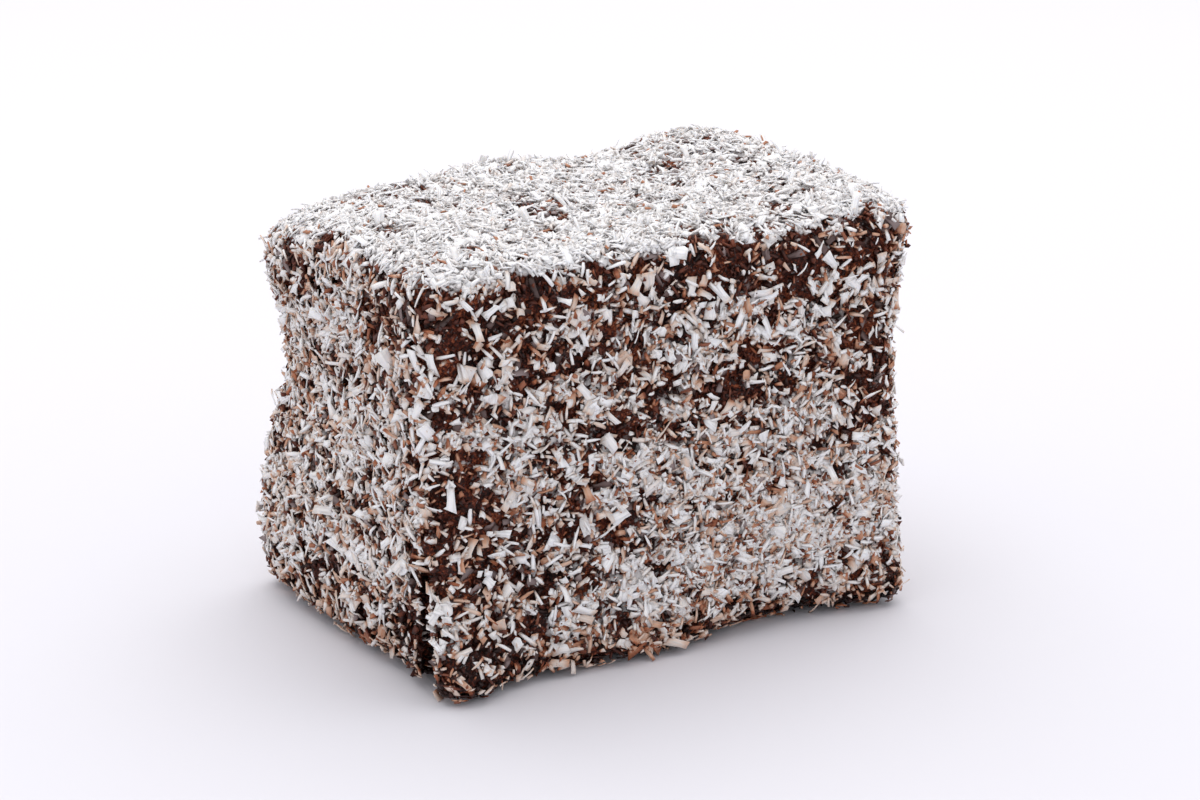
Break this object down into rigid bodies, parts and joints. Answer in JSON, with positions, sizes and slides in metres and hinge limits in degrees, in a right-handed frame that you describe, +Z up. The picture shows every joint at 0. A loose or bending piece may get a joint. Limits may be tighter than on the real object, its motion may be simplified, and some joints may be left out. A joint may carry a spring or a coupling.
{
  "type": "lamington cake",
  "caption": "Block of sponge cake dipped in chocolate icing and rolled in desiccated coconut, uncut, standing on its flat base.",
  "frame": {"origin": "middle of the bounding box's base, on the surface that the cake stands on", "axes": "+X along the long side, -Y out of the broad front, +Z up"},
  "size_m": [0.0748, 0.0544, 0.0575],
  "materials": {
    "coconut_coat": "dry desiccated coconut shreds, off-white, matt, some stained brown by the icing",
    "chocolate_crumb": "sponge crumb soaked in thin chocolate icing, dark brown, slightly moist sheen"
  },
  "bodies": {
    "root": {"lamington": "coconut_coat"}
  },
  "joints": []
}
